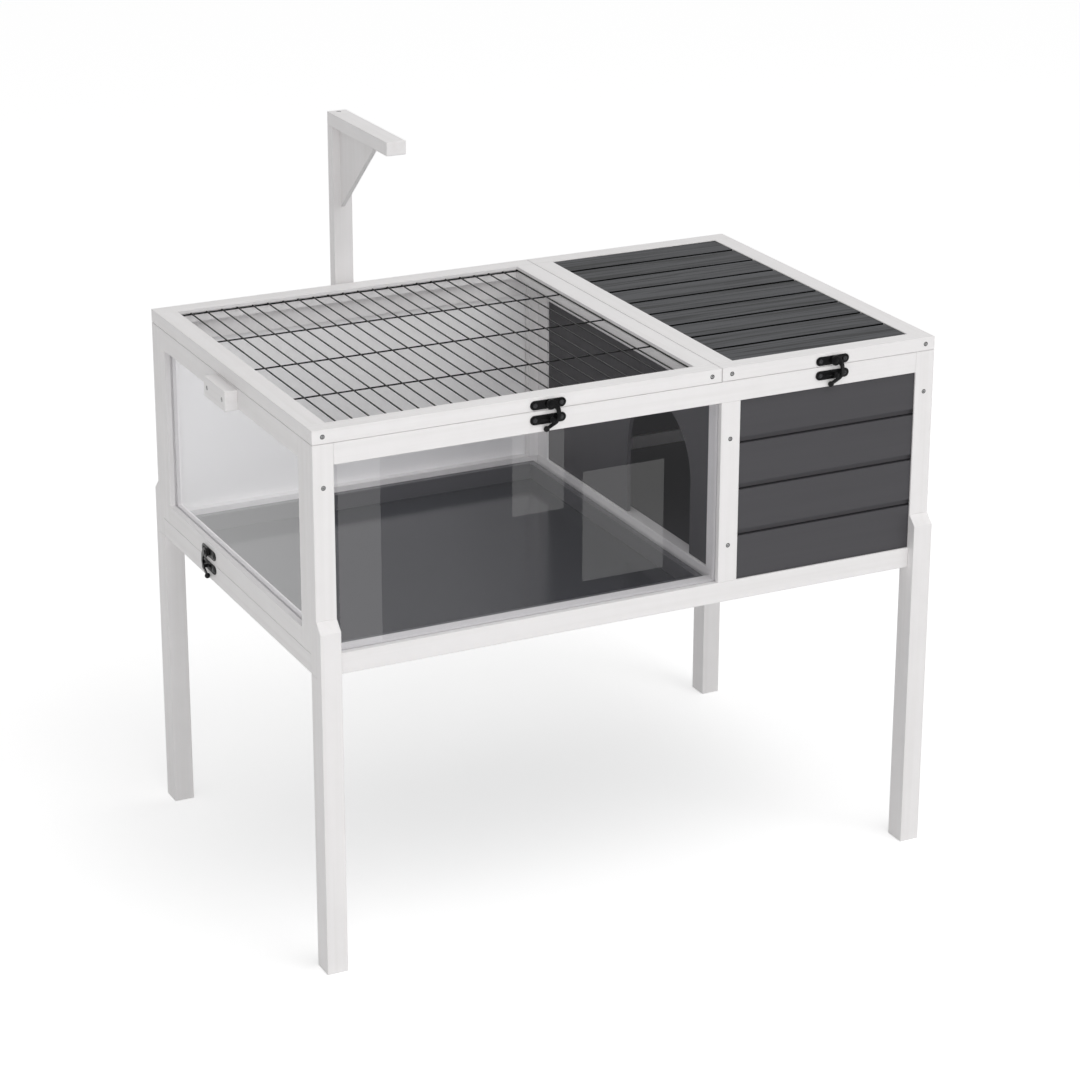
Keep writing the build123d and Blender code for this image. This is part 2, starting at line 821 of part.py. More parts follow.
frame_screw_places = [on_front(x, upper_screw_z) for x in corner_xs]
frame_screw_places += [on_front(middle_x, top_rail_bottom - middle_screw_inset),
                       on_front(middle_x, front_rail_top + middle_screw_inset)]
frame_screw_places += [on_back(x, z) for x in corner_xs for z in (upper_screw_z, lower_screw_z)]
leg_screw_places = [on_back(x, leg_screw_z, inside_front) for x in leg_screw_xs]
leg_screw_places += [Plane(origin=(x, inside_back, leg_screw_z), z_dir=(0, -1, 0)).location
                     for x in leg_screw_xs]
block_screw_places = [on_left(body_depth / 2 + side * carry_screw_spacing / 2,
                              (carry_block_bottom + carry_block_top) / 2, -carry_block_depth)
                      for side in (-1, 1)]
post_screw_places = [on_back(lamp_centre, z + spacer_height / 2, lamp_back) for z in spacer_bottoms]
post_screw_places += [Plane(origin=(lamp_centre, (lamp_front + lamp_back) / 2, lamp_top)).location]
mesh_lid_screw_places = [on_front(x, lid_middle_z)
                         for x in (rail_width / 2, mesh_lid_right - rail_width / 2)]
solid_lid_screw_places = [on_front(x, lid_middle_z)
                          for x in (solid_lid_left + rail_width / 2, body_length - rail_width / 2)]


def leaf_screw_places(hinges, z):
    """Two screws for each hinge leaf; the leaf's outer face is where a latch plate's would be."""
    surface = body_depth + hinge_leaf_thickness - plate_thickness
    return [on_back(x0 + hinge_length / 2 + side * hinge_screw_spacing / 2, z, surface)
            for x0 in hinges for side in (-1, 1)]


frame_pan_places = (
    leaf_screw_places(mesh_hinges + solid_hinges, pin_z - leaf_middle)
    + latch_screw_places(mesh_keeper_place) + latch_screw_places(solid_keeper_place)
    + latch_screw_places(tray_latch_place, -1))
mesh_lid_pan_places = (leaf_screw_places(mesh_hinges, pin_z + leaf_middle)
                       + latch_screw_places(mesh_latch_place))
solid_lid_pan_places = (leaf_screw_places(solid_hinges, pin_z + leaf_middle)
                        + latch_screw_places(solid_latch_place))
tray_pan_places = latch_screw_places(tray_keeper_place, -1)


def wood_screws(places, length):
    return [place * wood_screw(length) for place in places]


def pan_screws(places):
    return [place * pan_screw() for place in places]


def all_screw_holes():
    """Every hole that the wood and the hinge leaves are drilled with."""
    pan_places = frame_pan_places + mesh_lid_pan_places + solid_lid_pan_places + tray_pan_places
    lengths = ((frame_screw_places + mesh_lid_screw_places + solid_lid_screw_places, frame_screw_length),
               (leg_screw_places, leg_screw_length), (block_screw_places, block_screw_length),
               (post_screw_places, post_screw_length))
    holes = [place * wood_screw_hole(length) for places, length in lengths for place in places]
    return holes + [place * pan_screw_hole() for place in pan_places]


def boxes_meet(a, b):
    """Whether two bounding boxes overlap."""
    return (a.min.X < b.max.X and b.min.X < a.max.X and a.min.Y < b.max.Y and b.min.Y < a.max.Y
            and a.min.Z < b.max.Z and b.min.Z < a.max.Z)


def drilled(pieces, holes):
    """The pieces with every hole cut that reaches them."""
    finished = []
    for piece in pieces:
        box = piece.bounding_box()
        reached = [hole for hole in holes if boxes_meet(box, hole.bounding_box())]
        finished.append(piece - reached if reached else piece)
    return finished


# Assembly: every node with its solids

wooden = {
    "leg_front_left": [leg(0, -1, 0)],
    "leg_front_right": [leg(right_stile_left, -1, 0)],
    "leg_rear_left": [leg(0, 1, body_depth)],
    "leg_rear_right": [leg(right_stile_left, 1, body_depth)],
    "front_left_stile": [front_left_stile()],
    "front_middle_stile": [front_middle_stile()],
    "front_right_stile": [front_right_stile()],
    "front_top_rail": [front_rail(top_rail_bottom, body_top)],
    "front_bottom_rail": [front_rail(body_bottom, front_rail_top)],
    "front_boards": front_boards(),
    "left_stiles": left_stiles(),
    "left_rails": [left_rail(top_rail_bottom, body_top), left_rail(left_frame_bottom, left_rail_top)],
    "carry_block": [carry_block()],
    "right_stiles": right_stiles(),
    "right_rails": right_rails(),
    "right_boards": right_boards(),
    "back_stiles": back_stiles(),
    "back_top_rail": [back_rail(top_rail_bottom, body_top)],
    "back_bottom_rail": [back_rail(body_bottom, back_rail_top)],
    "back_sheet": [back_sheet()],
    "back_boards": back_boards(),
    "divider_stiles": divider_stiles(),
    "divider_rails": divider_rails(),
    "divider_arch_panel": [divider_arch_panel()],
    "corner_batten": [corner_batten()],
    "shelter_floor": [shelter_floor()],
    "tray_guides": tray_guides(),
    "lamp_post": [lamp_post()],
    "lamp_arm": [lamp_arm()],
    "lamp_gusset": [lamp_gusset()],
    "lamp_spacers": lamp_spacers(),
    "tray_front": [tray_front()],
    "tray_walls": tray_walls(),
    "tray_floor": [tray_floor()],
    "mesh_lid_front_rail": [lid_front_rail(0, mesh_lid_right) - mesh_kerf()],
    "mesh_lid_rear_rail": [lid_rear_rail(0, mesh_lid_right) - mesh_kerf()],
    "mesh_lid_side_rails": [rail - mesh_kerf() for rail in lid_side_rails(0, mesh_lid_right)],
    "solid_lid_front_rail": [lid_front_rail(solid_lid_left, body_length)],
    "solid_lid_rear_rail": [lid_rear_rail(solid_lid_left, body_length)],
    "solid_lid_side_rails": [rail - roof_groove() for rail in lid_side_rails(solid_lid_left, body_length)],
    "roof_boards": roof_boards(),
    "hinge_body_leaves": body_leaves(mesh_hinges + solid_hinges),
    "mesh_lid_hinge_leaves": lid_leaves(mesh_hinges),
    "solid_lid_hinge_leaves": lid_leaves(solid_hinges),
}
screw_holes = all_screw_holes()
nodes = {name: drilled(pieces, screw_holes) for name, pieces in wooden.items()}

nodes["front_window"] = [front_window()]
nodes["side_window"] = [side_window()]
nodes["wire_mesh"] = [wire_mesh()]
nodes["hinge_pins"] = hinge_pins()
nodes["mesh_latch_plate"] = [mesh_latch_place * latch_plate()]
nodes["solid_latch_plate"] = [solid_latch_place * latch_plate()]
nodes["tray_latch_plate"] = [tray_latch_place * mirrored(latch_plate())]
nodes["mesh_latch_hook"] = [mesh_latch_place * latch_hook()]
nodes["solid_latch_hook"] = [solid_latch_place * latch_hook()]
nodes["tray_latch_hook"] = [tray_latch_place * mirrored(latch_hook())]
nodes["lid_keepers"] = [mesh_keeper_place * latch_keeper(), solid_keeper_place * latch_keeper()]
nodes["tray_keeper"] = [tray_keeper_place * mirrored(latch_keeper())]
nodes["frame_screws"] = (
    wood_screws(frame_screw_places, frame_screw_length) + wood_screws(leg_screw_places, leg_screw_length)
    + wood_screws(block_screw_places, block_screw_length)
    + wood_screws(post_screw_places, post_screw_length) + pan_screws(frame_pan_places))
nodes["mesh_lid_screws"] = (wood_screws(mesh_lid_screw_places, frame_screw_length)
                            + pan_screws(mesh_lid_pan_places))
nodes["solid_lid_screws"] = (wood_screws(solid_lid_screw_places, frame_screw_length)
                             + pan_screws(solid_lid_pan_places))
nodes["tray_screws"] = pan_screws(tray_pan_places)

os.makedirs("parts", exist_ok=True)
to_origin = Pos(-origin_x, -origin_y, 0)
for name, pieces in nodes.items():
    solids = [solid for piece in pieces for solid in (to_origin * piece).solids()]
    export_step(Compound(solids), f"parts/{name}.step")
print(len(nodes), "nodes")
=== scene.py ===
"""Tortoise house: white painted softwood frames, grey boards, clear windows, a wire lid, a boarded
lid, a grey tray and black swing hook latches. Every length is in metres, in the frame of the CAD.
"""
import math

import bmesh
import bpy
from mathutils import Euler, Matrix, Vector


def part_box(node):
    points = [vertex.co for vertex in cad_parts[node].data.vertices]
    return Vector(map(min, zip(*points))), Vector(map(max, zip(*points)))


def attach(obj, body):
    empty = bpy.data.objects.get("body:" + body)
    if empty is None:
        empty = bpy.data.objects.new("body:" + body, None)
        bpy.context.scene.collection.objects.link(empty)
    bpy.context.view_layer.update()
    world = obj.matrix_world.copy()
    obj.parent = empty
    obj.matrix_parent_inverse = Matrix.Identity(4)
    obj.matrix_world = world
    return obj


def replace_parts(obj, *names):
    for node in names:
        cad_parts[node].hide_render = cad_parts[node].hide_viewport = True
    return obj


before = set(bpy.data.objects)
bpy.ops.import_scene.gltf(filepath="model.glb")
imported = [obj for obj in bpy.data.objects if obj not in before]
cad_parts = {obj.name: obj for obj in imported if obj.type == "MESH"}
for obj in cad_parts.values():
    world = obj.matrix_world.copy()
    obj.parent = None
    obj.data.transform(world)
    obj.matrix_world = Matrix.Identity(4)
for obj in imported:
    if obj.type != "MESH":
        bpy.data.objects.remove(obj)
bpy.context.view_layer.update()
mm = 0.001


# Camera: the photograph's view, from the front left and above, through a long lens

photo_width_mm = 36.0
camera_data = bpy.data.cameras.new("camera")
camera_data.sensor_width = photo_width_mm
camera_data.lens = 103.153
camera_data.shift_x = -0.00722
camera_data.shift_y = -0.09259
camera_data.clip_start = 0.1
camera_data.clip_end = 100.0
camera = bpy.data.objects.new("camera", camera_data)
camera.location = (-1.87055, -3.81186, 2.06908)
camera.rotation_euler = Euler([math.radians(turn) for turn in (70.90165, -0.16796, -26.45403)])
bpy.context.scene.collection.objects.link(camera)
bpy.context.scene.camera = camera


# Studio: a large soft lamp overhead, another low in front, nearly even light from all round, a white
# floor, and a grey flag that keeps the floor's glare off the front window

def linear(hex_colour):
    """An sRGB colour such as "#E8E6E3" as the linear RGBA that the shaders take."""
    parts = [int(hex_colour[place:place + 2], 16) / 255 for place in (1, 3, 5)]
    return [p / 12.92 if p <= 0.04045 else ((p + 0.055) / 1.055) ** 2.4 for p in parts] + [1.0]


def add(tree, kind, links=(), **settings):
    """Adds a node. links gives its inputs by name or number, each a value or another node's output."""
    node = tree.nodes.new(kind)
    for name, value in settings.items():
        setattr(node, name, value)
    for name, value in dict(links).items():
        if isinstance(value, bpy.types.NodeSocket):
            tree.links.new(value, node.inputs[name])
        else:
            node.inputs[name].default_value = value
    return node


def seen_rays(tree):
    """1 for the rays that see the surroundings: the camera's, and those in gloss and clear plastic."""
    path = add(tree, "ShaderNodeLightPath")
    seen = add(tree, "ShaderNodeMath",
               {0: path.outputs["Is Camera Ray"], 1: path.outputs["Is Glossy Ray"]}, operation="MAXIMUM")
    return add(tree, "ShaderNodeMath", {0: seen.outputs[0], 1: path.outputs["Is Transmission Ray"]},
               operation="MAXIMUM").outputs[0]


room_light = 0.50
room_lean = (0.05, -0.14, 0.16)
backdrop_light = 1.0
bpy.context.scene.view_settings.view_transform = "Standard"
world = bpy.data.worlds.new("studio")
bpy.context.scene.world = world
world.use_nodes = True
tree = world.node_tree
tree.nodes.clear()
direction = add(tree, "ShaderNodeTexCoord").outputs["Generated"]
lean = add(tree, "ShaderNodeVectorMath", {0: direction, 1: room_lean}, operation="DOT_PRODUCT")
even = add(tree, "ShaderNodeMath", {0: lean.outputs["Value"], 1: room_light}, operation="ADD")
strength = add(tree, "ShaderNodeMix", {"Factor": seen_rays(tree), "A": even.outputs[0],
                                       "B": backdrop_light})
sky = add(tree, "ShaderNodeBackground", {"Color": linear("#FFFFFF"),
                                         "Strength": strength.outputs["Result"]})
add(tree, "ShaderNodeOutputWorld", {"Surface": sky.outputs[0]})

lamp_size = 2.6
lamp_target = Vector((0.0, 0.0, 0.5))
for name, watts, place in (("soft_box_overhead", 42.0, (0.9, -2.2, 3.9)),
                           ("soft_box_low", 38.0, (-1.4, -4.0, 0.85))):
    lamp_data = bpy.data.lights.new(name, "AREA")
    lamp_data.size = lamp_size
    lamp_data.energy = watts
    lamp = bpy.data.objects.new(name, lamp_data)
    lamp.location = place
    lamp.rotation_euler = (lamp.location - lamp_target).to_track_quat("Z", "Y").to_euler()
    lamp.visible_glossy = False
    bpy.context.scene.collection.objects.link(lamp)

floor_reach = 30.0
floor_lift = 0.43
floor_mesh = bpy.data.meshes.new("studio_floor")
floor_mesh.from_pydata([(floor_reach * x, floor_reach * y, 0.0)
                        for x, y in ((-1, -1), (1, -1), (1, 1), (-1, 1))], [], [(0, 1, 2, 3)])
floor = bpy.data.objects.new("studio_floor", floor_mesh)
bpy.context.scene.collection.objects.link(floor)
floor_paint = bpy.data.materials.new("white_studio_floor")
floor_paint.use_nodes = True
tree = floor_paint.node_tree
tree.nodes.clear()
matt = add(tree, "ShaderNodeBsdfDiffuse", {"Color": linear("#F3F3F3")})
lift = add(tree, "ShaderNodeMath", {0: seen_rays(tree), 1: floor_lift}, operation="MULTIPLY")
glow = add(tree, "ShaderNodeEmission", {"Color": linear("#FFFFFF"), "Strength": lift.outputs[0]})
both = add(tree, "ShaderNodeAddShader", {0: matt.outputs[0], 1: glow.outputs[0]})
add(tree, "ShaderNodeOutputMaterial", {"Surface": both.outputs[0]})
floor_mesh.materials.append(floor_paint)

# The flag stands in front and shows in reflections alone. The gaps between its parts leave pale
# strips on the window. Each part is (left, right, low, high).
flag_y = -1.2
flag_left, flag_right, flag_top = -0.50, 1.2, 0.8
strip_left, strip_right = -0.06, 0.016
upper_left, upper_right, upper_low, upper_high = 0.257, 0.354, 0.24, 0.4
lower_left, lower_right, lower_low, lower_high = 0.39, 0.547, 0.10, 0.3
flag_parts = ((flag_left, strip_left, 0.0, flag_top), (strip_right, upper_left, 0.0, flag_top),
              (upper_left, upper_right, 0.0, upper_low), (upper_left, upper_right, upper_high, flag_top),
              (upper_right, lower_left, 0.0, flag_top), (lower_left, lower_right, 0.0, lower_low),
              (lower_left, lower_right, lower_high, flag_top), (lower_right, flag_right, 0.0, flag_top))
corners = []
for left, right, low, high in flag_parts:
    corners += [(left, flag_y, low), (right, flag_y, low), (right, flag_y, high), (left, flag_y, high)]
flag_mesh = bpy.data.meshes.new("studio_flag")
flag_mesh.from_pydata(corners, [], [tuple(range(first, first + 4))
                                    for first in range(0, len(corners), 4)])
flag = bpy.data.objects.new("studio_flag", flag_mesh)
bpy.context.scene.collection.objects.link(flag)
flag.visible_camera = False
flag.visible_diffuse = False
flag.visible_transmission = False
flag.visible_shadow = False
flag_cloth = bpy.data.materials.new("grey_flag_cloth")
flag_cloth.use_nodes = True
tree = flag_cloth.node_tree
tree.nodes.clear()
cloth = add(tree, "ShaderNodeEmission", {"Color": linear("#A3A3A6"), "Strength": 1.0})
add(tree, "ShaderNodeOutputMaterial", {"Surface": cloth.outputs[0]})
flag_mesh.materials.append(flag_cloth)


# Legs
# Four pine posts, planed and painted white. Each has a thinner tongue that is screwed over the
# outside of the frame. The paint is satin and thin enough for the grain to stand up under it.

def new_material(name):
    """An empty node material."""
    material = bpy.data.materials.new(name)
    material.use_nodes = True
    material.node_tree.nodes.clear()
    return material


def wood_space(tree, along, across_mm, along_mm):
    """Object coordinates in which one unit is across_mm of wood, or along_mm down the grain."""
    scale = [1 / (across_mm * mm)] * 3
    scale["xyz".index(along)] = 1 / (along_mm * mm)
    place = add(tree, "ShaderNodeTexCoord").outputs["Object"]
    return add(tree, "ShaderNodeMapping", {"Vector": place, "Scale": scale}).outputs[0]


white_paints = {}


def white_paint(along):
    """Satin white paint on pine whose grain runs along x, y or z."""
    if along in white_paints:
        return white_paints[along]
    fibre_mm, fibre_length_mm = 1.6, 70.0
    ring_mm, ring_length_mm = 9.0, 420.0
    coat_mm = 45.0
    edge_round_mm = 1.2
    material = new_material(f"satin_white_paint_on_pine_along_{along}")
    tree = material.node_tree
    fibre = add(tree, "ShaderNodeTexNoise", {"Vector": wood_space(tree, along, fibre_mm, fibre_length_mm),
                                             "Scale": 1.0, "Detail": 3.0, "Roughness": 0.6})
    ring = add(tree, "ShaderNodeTexNoise", {"Vector": wood_space(tree, along, ring_mm, ring_length_mm),
                                            "Scale": 1.0, "Detail": 2.0, "Roughness": 0.5})
    coat = add(tree, "ShaderNodeTexNoise", {"Vector": wood_space(tree, along, coat_mm, coat_mm),
                                            "Scale": 1.0, "Detail": 3.0, "Roughness": 0.55})
    tone = add(tree, "ShaderNodeMix", {"Factor": coat.outputs[0], "A": linear("#F0EEEE"),
                                       "B": linear("#E8E6E6")}, data_type="RGBA")
    shadow = add(tree, "ShaderNodeMapRange", {"Value": ring.outputs[0], "From Min": 0.45, "From Max": 0.75,
                                              "To Min": 0.0, "To Max": 0.35})
    grained = add(tree, "ShaderNodeMix", {"Factor": shadow.outputs[0], "A": tone.outputs["Result"],
                                          "B": linear("#DFDDDB")}, data_type="RGBA")
    relief = add(tree, "ShaderNodeMath", {0: fibre.outputs[0], 1: ring.outputs[0]}, operation="ADD")
    edge = add(tree, "ShaderNodeBevel", {"Radius": edge_round_mm * mm}, samples=4)
    bump = add(tree, "ShaderNodeBump", {"Height": relief.outputs[0], "Strength": 0.35,
                                        "Distance": 0.06 * mm, "Normal": edge.outputs[0]})
    gloss = add(tree, "ShaderNodeMapRange", {"Value": fibre.outputs[0], "To Min": 0.38, "To Max": 0.55})
    paint = add(tree, "ShaderNodeBsdfPrincipled",
                {"Base Color": grained.outputs["Result"], "Roughness": gloss.outputs["Result"],
                 "Normal": bump.outputs[0], "IOR": 1.47})
    add(tree, "ShaderNodeOutputMaterial", {"Surface": paint.outputs[0]})
    white_paints[along] = material
    return material


def dress(material, *nodes):
    """Gives CAD pieces their finish; their shapes and places stay as they are."""
    for name in nodes:
        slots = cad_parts[name].data.materials
        slots.clear()
        slots.append(material)


dress(white_paint("z"), "leg_front_left", "leg_front_right", "leg_rear_left", "leg_rear_right")


# Front wall frame
# Three stiles between two rails, all 20 mm pine. The run's window and the shelter's boards sit in
# grooves in them.

dress(white_paint("z"), "front_left_stile", "front_middle_stile", "front_right_stile")
dress(white_paint("x"), "front_top_rail", "front_bottom_rail")


# Wall boards
# Four lapped boards of 12 mm pine in each wall of the shelter, with a sunk channel over each
# joint. They are sprayed in a dark grey satin that fills most of the grain.

def grey_paint(along):
    """Satin dark grey paint on boards whose grain runs along x or y."""
    fibre_mm, fibre_length_mm = 2.2, 130.0
    band_mm, band_length_mm = 14.0, 500.0
    coat_mm = 70.0
    material = new_material(f"satin_grey_paint_on_pine_along_{along}")
    tree = material.node_tree
    fibre = add(tree, "ShaderNodeTexNoise", {"Vector": wood_space(tree, along, fibre_mm, fibre_length_mm),
                                             "Scale": 1.0, "Detail": 4.0, "Roughness": 0.6})
    band = add(tree, "ShaderNodeTexNoise", {"Vector": wood_space(tree, along, band_mm, band_length_mm),
                                            "Scale": 1.0, "Detail": 2.0, "Roughness": 0.5})
    coat = add(tree, "ShaderNodeTexNoise", {"Vector": wood_space(tree, along, coat_mm, coat_mm),
                                            "Scale": 1.0, "Detail": 3.0, "Roughness": 0.5})
    tone = add(tree, "ShaderNodeMix", {"Factor": band.outputs[0], "A": linear("#4D4C4F"),
                                       "B": linear("#444346")}, data_type="RGBA")
    grained = add(tree, "ShaderNodeMix", {"Factor": coat.outputs[0], "A": tone.outputs["Result"],
                                          "B": linear("#4A494C")}, data_type="RGBA")
    bump = add(tree, "ShaderNodeBump", {"Height": fibre.outputs[0], "Strength": 0.4, "Distance": 0.08 * mm})
    gloss = add(tree, "ShaderNodeMapRange", {"Value": fibre.outputs[0], "To Min": 0.42, "To Max": 0.6})
    paint = add(tree, "ShaderNodeBsdfPrincipled",
                {"Base Color": grained.outputs["Result"], "Roughness": gloss.outputs["Result"],
                 "Normal": bump.outputs[0], "IOR": 1.47, "Specular IOR Level": 0.35})
    add(tree, "ShaderNodeOutputMaterial", {"Surface": paint.outputs[0]})
    return material


dress(grey_paint("x"), "front_boards", "back_boards")
dress(grey_paint("y"), "right_boards")


# Left end
# Two stiles and two rails round a window. The frame stands over the tray's front, so its bottom
# rail is 28 mm above the body's underside. The carrying block is screwed to its top rail.

dress(white_paint("z"), "left_stiles")
dress(white_paint("y"), "left_rails", "carry_block")


# Right end
# Two stiles and two rails round four boards.

dress(white_paint("z"), "right_stiles")
dress(white_paint("y"), "right_rails")


# Back
# Three stiles and two rails. Behind the run they hold a thin plywood sheet painted white, which
# is flat and has no joint, and behind the shelter four boards.

dress(white_paint("z"), "back_stiles")
dress(white_paint("x"), "back_top_rail", "back_bottom_rail")


def white_lacquer_with_painted_light():
    """Smooth white lacquer on plywood, with the faint mottle of a roller, its white painted paler than the
    frames' as painted light.
    """
    mottle_mm = 2.5
    material = new_material("white_lacquer_on_plywood")
    tree = material.node_tree
    place = add(tree, "ShaderNodeTexCoord").outputs["Object"]
    mottle = add(tree, "ShaderNodeTexNoise", {"Vector": place, "Scale": 1 / (mottle_mm * mm),
                                              "Detail": 2.0})
    # Painted light: the sheet's white is paler than the frame paint, to brighten it inside the dim run.
    tone = add(tree, "ShaderNodeMix", {"Factor": mottle.outputs[0], "A": linear("#FAF9F9"),
                                       "B": linear("#F5F4F4")}, data_type="RGBA")
    bump = add(tree, "ShaderNodeBump", {"Height": mottle.outputs[0], "Strength": 0.2,
                                        "Distance": 0.03 * mm})
    paint = add(tree, "ShaderNodeBsdfPrincipled", {"Base Color": tone.outputs["Result"], "Roughness": 0.42,
                                                   "IOR": 1.47, "Normal": bump.outputs[0]})
    add(tree, "ShaderNodeOutputMaterial", {"Surface": paint.outputs[0]})
    return material


dress(white_lacquer_with_painted_light(), "back_sheet")


# Partition
# Two stiles and two rails between run and shelter, a batten in the corner behind them, and a
# 6 mm sheet painted grey on both sides with the arched doorway sawn out of it.

dress(white_paint("z"), "divider_stiles", "corner_batten")
dress(white_paint("y"), "divider_rails")
dress(grey_paint("z"), "divider_arch_panel", "shelter_floor")


# Windows
# Two sheets of clear 3 mm acrylic, bare edges in grooves. Cast acrylic is flat and colourless and
# shows clear reflections, which both faces of a sheet add to.

def clear_acrylic():
    """Clear sheet thin enough not to bend the view. Its outer faces stand for both reflections."""
    both_faces = 1.5
    material = new_material("clear_cast_acrylic")
    tree = material.node_tree
    mirrored = add(tree, "ShaderNodeFresnel", {"IOR": 1.49})
    inside = add(tree, "ShaderNodeNewGeometry").outputs["Backfacing"]
    path = add(tree, "ShaderNodeLightPath")
    lighting = add(tree, "ShaderNodeMath",
                   {0: path.outputs["Is Shadow Ray"], 1: path.outputs["Is Diffuse Ray"]}, operation="MAXIMUM")
    unmirrored = add(tree, "ShaderNodeMath", {0: lighting.outputs[0], 1: inside}, operation="MAXIMUM")
    outer = add(tree, "ShaderNodeMath", {0: 1.0, 1: unmirrored.outputs[0]}, operation="SUBTRACT")
    share = add(tree, "ShaderNodeMath", {0: mirrored.outputs[0], 1: both_faces}, operation="MULTIPLY")
    reflected = add(tree, "ShaderNodeMath", {0: share.outputs[0], 1: outer.outputs[0]},
                    operation="MULTIPLY", use_clamp=True)
    through = add(tree, "ShaderNodeBsdfTransparent", {"Color": linear("#FBFBFC")})
    mirror = add(tree, "ShaderNodeBsdfGlossy", {"Color": linear("#FFFFFF"), "Roughness": 0.0})
    sheet = add(tree, "ShaderNodeMixShader", {0: reflected.outputs[0], 1: through.outputs[0],
                                              2: mirror.outputs[0]})
    add(tree, "ShaderNodeOutputMaterial", {"Surface": sheet.outputs[0]})
    return material


dress(clear_acrylic(), "front_window", "side_window")


# Tray
# A drawer under the run. Its front is a white pine bar like the rails; its other walls are pine
# painted dark grey, and its floor is a smooth grey PVC sheet with a soft gloss. It runs on two
# white battens with a ledge.

def tray_sheet(name, light, dark, roughness):
    """Smooth grey sheet or gloss paint with faint clouding."""
    cloud_mm = 120.0
    gloss_change = 0.01
    material = new_material(name)
    tree = material.node_tree
    place = add(tree, "ShaderNodeTexCoord").outputs["Object"]
    cloud = add(tree, "ShaderNodeTexNoise", {"Vector": place, "Scale": 1 / (cloud_mm * mm), "Detail": 3.0})
    tone = add(tree, "ShaderNodeMix", {"Factor": cloud.outputs[0], "A": linear(light), "B": linear(dark)},
               data_type="RGBA")
    gloss = add(tree, "ShaderNodeMapRange", {"Value": cloud.outputs[0], "To Min": roughness - gloss_change,
                                             "To Max": roughness + gloss_change})
    sheet = add(tree, "ShaderNodeBsdfPrincipled",
                {"Base Color": tone.outputs["Result"], "Roughness": gloss.outputs["Result"], "IOR": 1.53,
                 "Specular IOR Level": 0.4})
    add(tree, "ShaderNodeOutputMaterial", {"Surface": sheet.outputs[0]})
    return material


dress(white_paint("y"), "tray_front")
dress(white_paint("x"), "tray_guides")
dress(tray_sheet("grey_gloss_paint", "#57575B", "#535357", 0.32), "tray_walls")
dress(tray_sheet("grey_pvc_sheet", "#393A3F", "#37383D", 0.16), "tray_floor")


# Lid frames
# Each lid has long front and rear rails of white pine with two short side rails between them.

dress(white_paint("x"), "mesh_lid_front_rail", "mesh_lid_rear_rail", "solid_lid_front_rail",
      "solid_lid_rear_rail")
dress(white_paint("y"), "mesh_lid_side_rails", "solid_lid_side_rails")


# Wire mesh
# Welded 2.2 mm steel wire with a black coat: 24 wires from front to back over 5 from side to
# side, whose ends sit in a saw kerf round the inside of the lid. At each weld the wires sink into
# each other by a fifth.

wire_radius = 1.1 * mm
weld_sink = 0.2
column_gap = 23.85 * mm
row_gap = 142.7 * mm
column_count = 23
row_count = 4
wire_sides = 14
mesh_low, mesh_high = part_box("wire_mesh")
wire_middle = (mesh_low.z + mesh_high.z) / 2
half_step = wire_radius * (1 - weld_sink)


def add_wire(shape, start, end, radius, sides):
    """A straight round wire with closed ends, between two points."""
    line = end - start
    turn = line.to_track_quat("Z", "Y").to_matrix().to_4x4()
    turn.translation = (start + end) / 2
    bmesh.ops.create_cone(shape, cap_ends=True, segments=sides, radius1=radius, radius2=radius,
                          depth=line.length, matrix=turn)


def finished(shape, name, material, body, smooth_below=40.0):
    """Turns a bmesh into a piece that rides on a body, smooth except over its sharp edges."""
    mesh = bpy.data.meshes.new(name)
    shape.to_mesh(mesh)
    shape.free()
    mesh.shade_smooth()
    mesh.set_sharp_from_angle(angle=math.radians(smooth_below))
    mesh.materials.append(material)
    piece = bpy.data.objects.new(name, mesh)
    bpy.context.scene.collection.objects.link(piece)
    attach(piece, body)
    return piece


def black_metal(name, colour, roughness, grit_mm, grit_depth_mm):
    """Black coated steel: the coat lies over the metal as a smooth or slightly orange-peel film."""
    wear_mm = 12.0
    material = new_material(name)
    tree = material.node_tree
    place = add(tree, "ShaderNodeTexCoord").outputs["Object"]
    grit = add(tree, "ShaderNodeTexNoise", {"Vector": place, "Scale": 1 / (grit_mm * mm), "Detail": 3.0})
    wear = add(tree, "ShaderNodeTexNoise", {"Vector": place, "Scale": 1 / (wear_mm * mm), "Detail": 2.0})
    tone = add(tree, "ShaderNodeMix", {"Factor": wear.outputs[0], "A": linear(colour),
                                       "B": linear("#111112")}, data_type="RGBA")
    gloss = add(tree, "ShaderNodeMapRange", {"Value": wear.outputs[0], "To Min": roughness - 0.07,
                                             "To Max": roughness + 0.1})
    bump = add(tree, "ShaderNodeBump", {"Height": grit.outputs[0], "Strength": 0.4,
                                        "Distance": grit_depth_mm * mm})
    coat = add(tree, "ShaderNodeBsdfPrincipled",
               {"Base Color": tone.outputs["Result"], "Roughness": gloss.outputs["Result"], "IOR": 1.5,
                "Specular IOR Level": 0.22, "Normal": bump.outputs[0]})
    add(tree, "ShaderNodeOutputMaterial", {"Surface": coat.outputs[0]})
    return material


columns = [mesh_low.x + wire_radius]
columns += [mesh_high.x - wire_radius - number * column_gap for number in range(column_count)]
rows = [mesh_low.y + wire_radius]
rows += [mesh_high.y - wire_radius - number * row_gap for number in range(row_count)]
shape = bmesh.new()
for x in columns:
    add_wire(shape, Vector((x, mesh_low.y, wire_middle + half_step)),
             Vector((x, mesh_high.y, wire_middle + half_step)), wire_radius, wire_sides)
for y in rows:
    add_wire(shape, Vector((mesh_low.x, y, wire_middle - half_step)),
             Vector((mesh_high.x, y, wire_middle - half_step)), wire_radius, wire_sides)
wires = finished(shape, "welded_wires", black_metal("black_coated_wire", "#0D0D0E", 0.38, 0.8, 0.02),
                 "mesh_lid")
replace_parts(wires, "wire_mesh")
